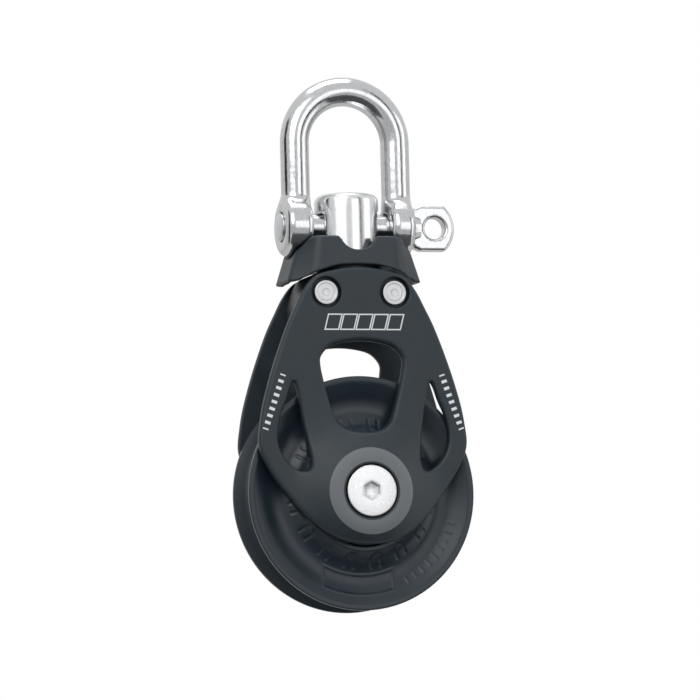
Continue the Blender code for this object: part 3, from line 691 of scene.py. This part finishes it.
def cheek_plate():
    """A cheek's points and faces, in mm from the axle's centre, on the +Y side."""
    windows = [smooth_loop(mirrored(CENTRE_WINDOW))]
    windows += [smooth_loop([(side * x, z) for x, z in SIDE_WINDOW]) for side in (-1, 1)]
    bores = [circle(side * RIVET_SPOT[0], RIVET_SPOT[1], COUNTERBORE) for side in (-1, 1)]
    bores.append(circle(0, 0, HUB_HOLE))
    guides = [circle(0, 0, radius, 240) for radius in RECESS_RADII]
    return plate(smooth_loop(mirrored(OUTLINE)), windows + bores, dome, inner_face,
                 EDGE_ROUNDS, guides=guides)


# %% Both cheeks, with the seats of their screw and rivets
CHEEK_POINTS, CHEEK_FACES = cheek_plate()
for name, side in (("near", -1), ("far", 1)):
    shells = [shell_at(CHEEK_POINTS, CHEEK_FACES, side),
              ring(2.7, HUB_HOLE + 0.1, side * 9.35, side * SCREW_SEAT)]
    for x in (-RIVET_X, RIVET_X):
        shells.append(ring(2.05, COUNTERBORE + 0.1, side * 6.6, side * RIVET_SEAT,
                           centre=(x, 0, RIVET_Z)))
    place(f"{name}_cheek_forging", shells, FORGED_ALUMINIUM, "black_forging", "block",
          f"{name}_cheek", sharp_degrees=40)


# %% [markdown]
# ## The sheave
# The sheave is moulded, then trued on a lathe, so it starts as a turned profile: a flat hub, a
# dish, a rounded lip and the rope's groove. The mould also leaves low relief: sixteen arches
# round the hub's slope that let grit out, and plain raised marks on the dish. The relief is a
# second function, of radius and angle, that is added along the axle.

# %% Sheave
def open_curve(points, per_span=6):
    """An open Catmull-Rom curve through points, its ends repeated."""
    p = np.array([points[0], *points, points[-1]], float)
    t = np.linspace(0, 1, per_span, endpoint=False)[:, None]
    spans = [span(a, b, c, d, t) for a, b, c, d in zip(p, p[1:], p[2:], p[3:])]
    return np.concatenate(spans + [p[-1:]])


def even_rows(profile, spacing):
    """A polyline's own corners, with extra points so that none lie further apart than the spacing."""
    rows = []
    for a, b in zip(profile, profile[1:]):
        count = max(1, math.ceil(np.hypot(*(b - a)) / spacing))
        rows.append(a + (b - a) * np.linspace(0, 1, count, endpoint=False)[:, None])
    return np.concatenate(rows + [profile[-1:]])


def raised(distance, width):
    """1 inside a shape, falling to 0 over a width outside it, along a smooth S."""
    share = np.clip(1 - distance / width, 0, 1)
    return share ** 2 * (3 - 2 * share)


ARCHES, ARCH_TOP, ARCH_HALF, ARCH_REACH = 16, 12.9, 0.95, 1.5
FRAME_ANGLE, FRAME_RADIUS, FRAME_HALF = math.radians(-93), 17.6, (7.2, 1.9)
DASHES, DASH_START, DASH_STEP, DASH_RADIUS = 9, -62, 5.5, 18.9


def relief(radius, angle):
    """Height of the moulded marks: grooves along arches, a blank frame, and a row of dashes."""
    pitch = 2 * math.pi / ARCHES
    across = (angle % pitch - pitch / 2) * radius
    arch = np.abs(np.hypot(across, np.minimum(radius - ARCH_TOP, 0)) - ARCH_HALF) - 0.1
    arch = np.maximum(arch, np.abs(radius - ARCH_TOP) - ARCH_REACH)
    height = -0.13 * raised(arch, 0.35)
    along = ((angle - FRAME_ANGLE + math.pi) % (2 * math.pi) - math.pi) * radius
    box = np.maximum(np.abs(along) - FRAME_HALF[0], np.abs(radius - FRAME_RADIUS) - FRAME_HALF[1])
    height += 0.1 * raised(np.abs(box) - 0.06, 0.25)
    for index in range(DASHES):
        at_angle = math.radians(DASH_START + DASH_STEP * index)
        along = ((angle - at_angle + math.pi) % (2 * math.pi) - math.pi) * radius
        dash = np.maximum(np.abs(along) - 0.08, np.abs(radius - DASH_RADIUS) - 0.6)
        height += 0.08 * raised(dash, 0.2)
    return height


SHEAVE_SIDE = [(6.45, 6.2), (10.3, 6.2), (10.3, 7.6), (11.3, 7.6)]
SHEAVE_DISH = [(11.3, 7.6), (12.3, 6.5), (13.5, 5.3), (15.4, 4.4), (17.6, 4.45), (19.8, 5.3),
               (21.3, 5.9), (21.9, 6.0)]
LIP = [(21.9, 6.0), (22.5, 6.0), (22.5, 5.1)]


def sheave_shell(steps=560):
    """The sheave: one side's rows, the groove's arc of radius 5, and the first side mirrored."""
    side = np.concatenate([rounded(SHEAVE_SIDE, 0.25), open_curve(SHEAVE_DISH)[1:],
                           rounded(LIP, 0.5)[1:]])
    side = even_rows(side, 0.3)
    reach = np.linspace(math.radians(86), -math.radians(86), 33)[1:-1]
    groove = np.column_stack([21.9 - 5.0 * np.cos(reach), 4.75 * np.sin(reach)])
    profile = np.concatenate([side, groove, side[::-1] * (1, -1)])
    angle = np.linspace(0, 2 * math.pi, steps, endpoint=False)[None, :]
    radius, along = np.broadcast_to(profile[:, :1], (len(profile), steps)), profile[:, 1:2]
    # Only the slope and the dish carry relief: not the hub's face, the lip or the groove.
    on_dish = (radius > 11.35) & (radius < 21.5) & (np.abs(along) > 3.9)
    lift = np.where(on_dish, relief(radius, angle), 0) * np.sign(along)
    return lathe(radius * MM, (along + lift) * MM, closed=True)


place("grooved_sheave", [sheave_shell()], SHEAVE_NYLON, "sheave_moulding", "sheave_wheel",
      "sheave", sharp_degrees=50)
place("sheave_bush", [ring(4.95, 6.35, -6.2, 6.2)], BUSH_LINER, "liner", "sheave_wheel", "bush")

# %% [markdown]
# ## The ball races
# Side load is carried by eight acetal balls on each side, held apart by a flat cage. A ball is a
# small grid of latitudes and longitudes. The balls and their cage turn together, so they are two
# pieces on one body, and the cage is a plate with eight round holes.

# %% Balls and cages
BALLS = 8
BALL_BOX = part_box("near_ball_1")
BALL_RADIUS = (BALL_BOX[1].y - BALL_BOX[0].y) / 2 / MM
BALL_ALONG = abs(BALL_BOX[1].y + BALL_BOX[0].y) / 2 / MM
BALL_PITCH = 8.6


def ball(centre):
    """A sphere: radius times the sine of its latitude's angle, at radius times the cosine along."""
    latitude = np.linspace(0, math.pi, 17)
    return lathe(BALL_RADIUS * np.sin(latitude) * MM, BALL_RADIUS * np.cos(latitude) * MM,
                 centre=centre, steps=28)


for name, side in (("near", -1), ("far", 1)):
    turns = 2 * math.pi * (np.arange(BALLS) + 0.5) / BALLS
    spots = np.column_stack([BALL_PITCH * np.sin(turns), BALL_PITCH * np.cos(turns)])
    shells = [ball((x * MM, side * BALL_ALONG * MM, AXLE_Z + z * MM)) for x, z in spots]
    place(f"{name}_race_balls", shells, BALL_ACETAL, "acetal", f"{name}_balls",
          *[f"{name}_ball_{number + 1}" for number in range(BALLS)])
    low, high = BALL_ALONG - 0.5, BALL_ALONG + 0.5
    cage = plate(circle(0, 0, 10.1), [circle(0, 0, 5.1)] + [circle(x, z, 1.55, 48) for x, z in spots],
                 lambda x, z: high + 0 * x, lambda x, z: low + 0 * x, [0.12] * (BALLS + 2), 0.12)
    place(f"{name}_race_cage", [shell_at(*cage, side)], CAGE_ACETAL, "acetal", f"{name}_balls",
          f"{name}_ball_cage")

# %% [markdown]
# ## Axle, screws and rivets
# The axle is a tube. A flat-headed socket screw clamps each cheek to it. The socket is a hexagon,
# whose radius at an angle is half its width over the cosine from the nearest flat, so the same
# lathe function makes it. Each rivet is a pin whose ends were spun over into flat heads, which
# leaves rings and a dimple in the middle.

# %% Turned fasteners
def socket_screw(side, steps=144):
    """Rows from the socket's floor, up its six walls, over the head and down the shank."""
    face, socket = 12.45, hexagon(3.0, steps)
    rows = [(0 * socket, face - 1.32), (socket * 0.9, face - 1.2), (socket, face - 1.14),
            (socket, face - 0.16), (socket + 0.05, face - 0.04), (socket + 0.16, face)]
    rows += [(out + 0 * socket, along) for out, along in
             rounded([(2.2, face), (4.9, face), (4.9, face - 1.7), (2.5, face - 1.7), (2.5, 0.6),
                      (0, 0.6)], 0.22)]
    radius = np.array([row[0] for row in rows]) * MM
    along = np.array([row[1] for row in rows]) * MM * side
    return lathe(radius, along)


def rivet(x):
    """Two spun heads on a shank: the face has a dimple and a low ring, then a rounded rim."""
    end = [(0, 8.04), (0.6, 8.04), (0.8, 8.08), (1.5, 8.08), (1.6, 8.05), (1.75, 8.05), (1.85, 8.1),
           (2.3, 8.1), (2.3, 7.35), (1.9, 7.35)]
    return turned(end + [(radius, -along) for radius, along in reversed(end)], 0.09,
                  centre=(x, 0, RIVET_Z), steps=72)


place("axle_tube", [ring(2.65, 4.8, -9.0, 9.0)], SCREW_STEEL, "satin_stainless", "block", "axle")
for name, side in (("near", -1), ("far", 1)):
    place(f"{name}_socket_screw", [socket_screw(side)], SCREW_STEEL, "satin_stainless", "block",
          f"{name}_axle_screw", sharp_degrees=30)
for name, side in (("left", -1), ("right", 1)):
    place(f"{name}_spun_rivet", [rivet(side * RIVET_X)], RIVET_STEEL[side], "satin_stainless",
          "block", f"{name}_rivet", sharp_degrees=50)

# %% [markdown]
# ## The head: spacer, post, nut and washers
# A milled spacer holds the cheeks apart and carries the post's spigot. The post is turned, then
# two flats are milled on it: in the grid that is only holding x to the flats' distance for the
# rows between their ends. A hole for the pin and the spacer's bores are exact Booleans, as drilled.

# %% Spacer and post
BLOCK_OUTLINE = [(0, 43.1), (4.0, 43.1), (6.9, 42.7), (8.6, 41.8), (9.9, 39.6), (10.9, 36.4),
                 (10.9, 33.9), (10.2, 31.9), (8.8, 31.2), (4.0, 31.2), (0, 31.2)]
POST_LOW, POST_HIGH = (corner.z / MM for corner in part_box("swivel_post"))
POST_RADIUS, POST_ROUND, SPIGOT = 6.2, 1.5, 3.4
FLAT_X, FLAT_LOW, FLAT_HIGH = 5.2, AXLE_Z / MM + 46.4, AXLE_Z / MM + 55.0
PIN_HOLE = 2.9


def spacer_mesh():
    """The spacer's plate with its stepped bore for the post and its nut."""
    bores = [circle(side * RIVET_SPOT[0], RIVET_SPOT[1], 2.1, 64) for side in (-1, 1)]
    block = plate(smooth_loop(mirrored(BLOCK_OUTLINE)), bores, lambda x, z: 6.2 + 0 * x,
                  lambda x, z: -6.2 + 0 * x, [0.4, 0.15, 0.15], 0.4, spacing=0.5, fill=1.2)
    bore = turned([(0, 20), (5.15, 20), (5.15, 35.4), (3.5, 35.4), (3.5, 50), (0, 50)], 0.01,
                  axis="Z", steps=64)
    return cut(mesh_from("milled_spacer", [shell_at(*block)]), [bore])


def post_shell(steps=160):
    """A spigot and a body with a rounded top, its sides held to the milled flats."""
    shoulder = AXLE_Z / MM + 44.3
    profile = rounded([(0, POST_LOW), (SPIGOT, POST_LOW), (SPIGOT, shoulder),
                       (POST_RADIUS, shoulder), (POST_RADIUS, POST_HIGH - 0.01),
                       (5.0, POST_HIGH), (0, POST_HIGH)], 0.3)
    top = profile[:, 1] > POST_HIGH - 0.5
    corner = np.linspace(0, math.pi / 2, 10)
    round_top = np.column_stack([POST_RADIUS - POST_ROUND * (1 - np.cos(corner)),
                                 POST_HIGH - POST_ROUND * (1 - np.sin(corner))])
    lower = profile[~top]
    edge = 0.02
    marks = np.array([FLAT_LOW - edge, FLAT_LOW + edge, FLAT_HIGH - edge, FLAT_HIGH + edge])
    body = np.column_stack([np.full(4, POST_RADIUS), marks])
    rows = np.concatenate([lower, body, round_top, [[0, POST_HIGH]]])
    radius = np.repeat(rows[:, :1], steps, axis=1)
    angle = np.linspace(0, 2 * math.pi, steps, endpoint=False)[None, :]
    on_flat = (rows[:, 1:2] > FLAT_LOW) & (rows[:, 1:2] < FLAT_HIGH) & (rows[:, :1] > 5)
    reach = np.maximum(np.abs(np.cos(angle)) * radius, 1e-9)
    radius = np.where(on_flat, np.minimum(radius, radius * FLAT_X / reach), radius)
    return lathe(radius * MM, rows[:, 1] * MM, "Z", (0, 0, 0))


def drill_along_x(radius):
    """A cylinder along the shackle pin's axis, longer than the whole head."""
    return turned([(0, -20), (radius, -20), (radius, 20), (0, 20)], 0.001, "X", PIN, steps=64)


place("milled_spacer", spacer_mesh(), SPACER_ALUMINIUM, "machined_aluminium", "block", "head_block")
place("turned_post", cut(mesh_from("turned_post", [post_shell()]), [drill_along_x(PIN_HOLE)]),
      POST_STEEL, "satin_stainless", "head", "swivel_post")
NUT_RADIUS = np.concatenate([np.full((1, 72), 3.5), np.full((1, 72), 3.5),
                             [hexagon(8.49, 72), hexagon(8.49, 72)]]) * MM
NUT = lathe(NUT_RADIUS, np.array([34.3, 31.9, 31.9, 34.3]) * MM, "Z", AXLE, closed=True)
place("spigot_nut", [NUT], SCREW_STEEL, "satin_stainless", "head", "post_nut")
place("spigot_washer", [ring(3.5, 4.8, 34.5, 35.2, 0.1, "Z")], SCREW_STEEL, "satin_stainless",
      "head", "nut_washer")
place("slip_washer", [ring(3.6, 6.0, 43.3, 44.1, 0.1, "Z")], CAGE_ACETAL, "acetal", "block",
      "thrust_washer")

# %% [markdown]
# ## The shackle and its pin
# The bow is one forging: a 5.6 mm bar bent round a half circle, its legs swelling into two eyes,
# of which the left is 0.7 mm thicker. The bar's distance is from the path of its middle, the eyes
# are thick discs, and the two are joined with a fillet. The pin is a turned shank whose head was
# flattened into a ring.

# %% Bow
BAR, LEG_X, BEND_Z = 2.8, 10.15, 2.8 - 10.15
EAR_INNER, EAR_OUTER, EAR_RADIUS = 7.9, {-1: 13.3, 1: 12.6}, 5.8
EAR_EDGE, EAR_FILLET = 1.5, 1.2
PIN_MM = PIN_Z / MM


def bow_distance(p):
    """The bar and its eyes joined, then the pin's hole taken out."""
    x, y, z = np.abs(p[:, 0]), p[:, 1], p[:, 2]
    outer = np.where(p[:, 0] < 0, EAR_OUTER[-1], EAR_OUTER[1])
    sideways = np.where(z > BEND_Z, np.hypot(x, z - BEND_Z), x) - LEG_X
    bar = np.sqrt(sideways ** 2 + y ** 2 + np.minimum(z - PIN_MM, 0) ** 2) - BAR
    from_pin = np.hypot(y, z - PIN_MM)
    eye = disc(from_pin, x - (EAR_INNER + outer) / 2, EAR_RADIUS, (outer - EAR_INNER) / 2, EAR_EDGE)
    return without(joined(bar, eye, EAR_FILLET), from_pin - PIN_HOLE, 0.3)


place("forged_bow", skinned("shackle_bow", bow_distance, 0.22), SHACKLE_STEEL,
      "polished_stainless", "shackle", "shackle_bow")

# %% Pin
SHANK, TIP_X = 2.75, -13.9
RING_START, RING_HOLE_X, RING_END, RING_RADIUS = 12.9, 17.6, 21.6, 5.9
RING_CORNER = math.asin(4.4 / RING_RADIUS)


def pin_shells():
    """The shank with its domed tip, and the ring head as a plate with an eye."""
    tip = np.linspace(0, 1, 6)
    shank = [(SHANK * math.sin(t * math.pi / 2), TIP_X + 0.35 * (1 - math.cos(t * math.pi / 2)))
             for t in tip]
    shank += [(SHANK, 13.2), (2.3, 14.6), (0, 14.9)]
    bend = RING_CORNER * np.linspace(-1, 1, 15)
    outline = [(RING_START, -3.2), (13.5, -3.9), (14.6, -4.4)]
    outline += list(zip(RING_END - RING_RADIUS * (1 - np.cos(bend)), RING_RADIUS * np.sin(bend)))
    outline += [(14.6, 4.4), (13.5, 3.9), (RING_START, 3.2)]
    ring_head = plate(np.array(outline), [circle(RING_HOLE_X, 0, 2.08)], lambda x, z: 1.4 + 0 * x,
                      lambda x, z: -1.4 + 0 * x, [0.6, 0.45], 0.6, spacing=0.2, fill=0.5)
    return [turned(shank, 0.1, "X", PIN, steps=72), shell_at(*ring_head, centre=PIN)]


place("ring_headed_pin", pin_shells(), SHACKLE_STEEL, "polished_stainless", "pin", "shackle_pin",
      sharp_degrees=40)

# %% [markdown]
# ## The cap
# A moulded cap bridges the cheeks and cradles the shackle's eyes. Its plan has eight sides and
# narrows from the bottom to the top, and every hollow in it is the track of something: the arch
# clears the cheeks, the saddle the eyes, the notch and the bore the post. So its distance is the
# largest of a few plain ones, each with a soft edge.

# %% Cap
CAP_TOP, CAP_BOTTOM = 49.5, 40.8
CAP_PLAN_TOP, CAP_PLAN_BOTTOM = (7.9, 7.7, 10.8, 4.0), (8.6, 8.1, 13.5, 4.4)
ARCH_TOP_Z, ARCH_RADIUS, ARCH_HALF_WIDTH = 43.9, 25.0, 9.7
SADDLE, NOTCH, NOTCH_Z, CAP_BORE = 6.2, 3.9, 50.7, 6.4
SWEEP = np.array([(12.7, 40.9), (12.4, 41.3), (10.8, 42.6), (9.4, 43.4), (8.6, 43.8)])


def cap_distance(p):
    """The tapering plan between top and bottom, less the arch, sweep, saddle, notch and bore.

    The arch spans the cheeks only, so it stops at a half width short of the cap's tips. The sweep
    is the track of the cheeks' shoulders as the head turns: a height for each distance from the axis.
    """
    x, y, z = np.abs(p[:, 0]), np.abs(p[:, 1]), p[:, 2] - AXLE_Z / MM
    share = (z - CAP_BOTTOM) / (CAP_TOP - CAP_BOTTOM)
    front_x, front_y, tip_x, tip_y = (low + (high - low) * share for low, high in
                                      zip(CAP_PLAN_BOTTOM, CAP_PLAN_TOP))
    run, rise = tip_x - front_x, front_y - tip_y
    slope = ((x - front_x) * rise + (y - front_y) * run) / np.hypot(run, rise)
    body = -joined(front_y - y, -slope, 0.9)
    body = -joined(-body, tip_x - x, 0.6)
    body = -joined(-body, CAP_TOP - z, 0.7)
    body = -joined(-body, z - CAP_BOTTOM, 0.3)
    arch = np.hypot(x, z - ARCH_TOP_Z + ARCH_RADIUS) - ARCH_RADIUS
    arch = -joined(-arch, ARCH_HALF_WIDTH - x, 0.5)
    from_axis = np.hypot(x, y)
    sweep = np.maximum(z - np.interp(from_axis, SWEEP[::-1, 0], SWEEP[::-1, 1]),
                       from_axis - SWEEP[0, 0])
    saddle = np.hypot(y, z + AXLE_Z / MM - PIN_MM) - SADDLE
    notch = np.hypot(x, z - NOTCH_Z) - NOTCH
    for hollow, edge in ((arch, 0.4), (sweep, 0.3), (saddle, 0.6), (notch, 0.4),
                         (from_axis - CAP_BORE, 0.3)):
        body = without(body, hollow, edge)
    return body


place("moulded_cap", skinned("head_cap", cap_distance, 0.2), CAP_NYLON, "cap_moulding", "head",
      "head_cap")

# %% [markdown]
# ## Camera, floor and light
# The block hangs in a white studio, seen from a little below and to its left, through a long lens
# that keeps its sides parallel. Steel only shows its shape by what it mirrors, so the world lights
# it brightly from above and dimly from underneath, with soft boxes and dark cards round the block
# that the camera doesn't see. Past the block, the camera sees plain white.

# %% Camera
TURN, TILT, ROLL, DISTANCE = (math.radians(-17.08), math.radians(-5.55), math.radians(-1.43), 0.882)
TARGET = Vector((0.00007, 0, -0.0476))
back = Vector((math.sin(TURN) * math.cos(TILT), -math.cos(TURN) * math.cos(TILT), math.sin(TILT)))
level = Vector((math.cos(TURN), math.sin(TURN), 0))
upright = level.cross(-back)
right = level * math.cos(ROLL) + upright * math.sin(ROLL)
up = upright * math.cos(ROLL) - level * math.sin(ROLL)
lens = bpy.data.cameras.new("long_lens")
lens.sensor_width, lens.lens = 36, 234.6
camera = linked("camera", lens)
camera.matrix_world = (Matrix.Translation(TARGET + back * DISTANCE)
                       @ Matrix((right, up, back)).transposed().to_4x4())
bpy.context.scene.camera = camera

# %% World, floor, soft boxes and cards
FLOOR_Z = -0.55


def studio_world(to_camera=1.0, overhead=0.85, underfoot=0.15):
    """White where the camera looks past the block; for light, bright above and grey underneath."""
    world = bpy.data.worlds.new("studio")
    world.use_nodes = True
    tree = world.node_tree
    tree.nodes.clear()
    heading = add(tree, "SeparateXYZ", {"Vector": add(tree, "TexCoord").outputs["Generated"]})
    studio = ramp(tree, heading.outputs["Z"], -0.6, 0.25, underfoot, overhead)
    path = add(tree, "LightPath")
    strength = ramp(tree, path.outputs["Is Camera Ray"], 0, 1, studio, to_camera)
    light = add(tree, "Background", {"Color": (1, 1, 1, 1), "Strength": strength})
    output = add(tree, "OutputWorld")
    tree.links.new(light.outputs[0], output.inputs["Surface"])
    bpy.context.scene.world = world


def aim(thing, place_at):
    """Put a light or a card somewhere, facing the middle of the block and hidden from the camera."""
    thing.location = place_at
    thing.rotation_euler = (TARGET - Vector(place_at)).to_track_quat("-Z", "Y").to_euler()
    thing.visible_camera = False


def soft_box(name, place_at, width, height, watts):
    """A rectangular area light."""
    light = bpy.data.lights.new(name, "AREA")
    light.shape, light.size, light.size_y, light.energy = "RECTANGLE", width, height, watts
    aim(linked(name, light), place_at)


def rectangle(name, x, y, z, material):
    """A flat object at a height, of half sizes x and y."""
    mesh = bpy.data.meshes.new(name)
    mesh.from_pydata([(-x, -y, z), (x, -y, z), (x, y, z), (-x, y, z)], [], [(0, 1, 2, 3)])
    mesh.materials.append(material)
    return linked(name, mesh)


def dark_card(name, place_at, width, height, colour="#15181a"):
    """A matt card, black unless a colour is given, for the dark lines in polished steel."""
    felt = new_material(name + "_felt", colour, 0.0, 1.0)[0]
    card = rectangle(name, width / 2, height / 2, 0, felt)
    aim(card, place_at)
    card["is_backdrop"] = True


def pale_floor(size=4.0):
    """A wide matt floor, well below the hanging block."""
    material, tree, shader = new_material("pale_painted_floor", "#d8d8d7", 0.0, 0.8)
    drive(tree, shader, tint(tree, mottle(tree, millimetres(tree), 400.0), "#d5d5d4", "#dbdbda"))
    rectangle("floor", size, size, FLOOR_Z, material)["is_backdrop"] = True


studio_world()
pale_floor()
soft_box("key_from_upper_left", (-0.55, -0.75, 0.45), 0.7, 0.7, 3.2)
soft_box("fill_from_right", (0.9, -0.45, 0.0), 0.4, 0.9, 1.2)
soft_box("weak_front_box", (0.3, -0.98, 0.06), 0.45, 0.45, 0.62)
soft_box("top", (0.0, 0.1, 0.9), 0.6, 0.6, 4)
dark_card("card_right", (0.35, -0.5, -0.05), 0.10, 0.9)
dark_card("card_left", (-0.6, 0.05, -0.05), 0.25, 0.9)
dark_card("card_below", (0.0, -0.2, -0.5), 1.0, 0.8, "#4a4c4e")
bpy.context.scene.view_settings.view_transform = "Standard"
bpy.context.scene.view_settings.look = "None"

# %% Boxes
low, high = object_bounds()
print("visual box", tuple(low), tuple(high))
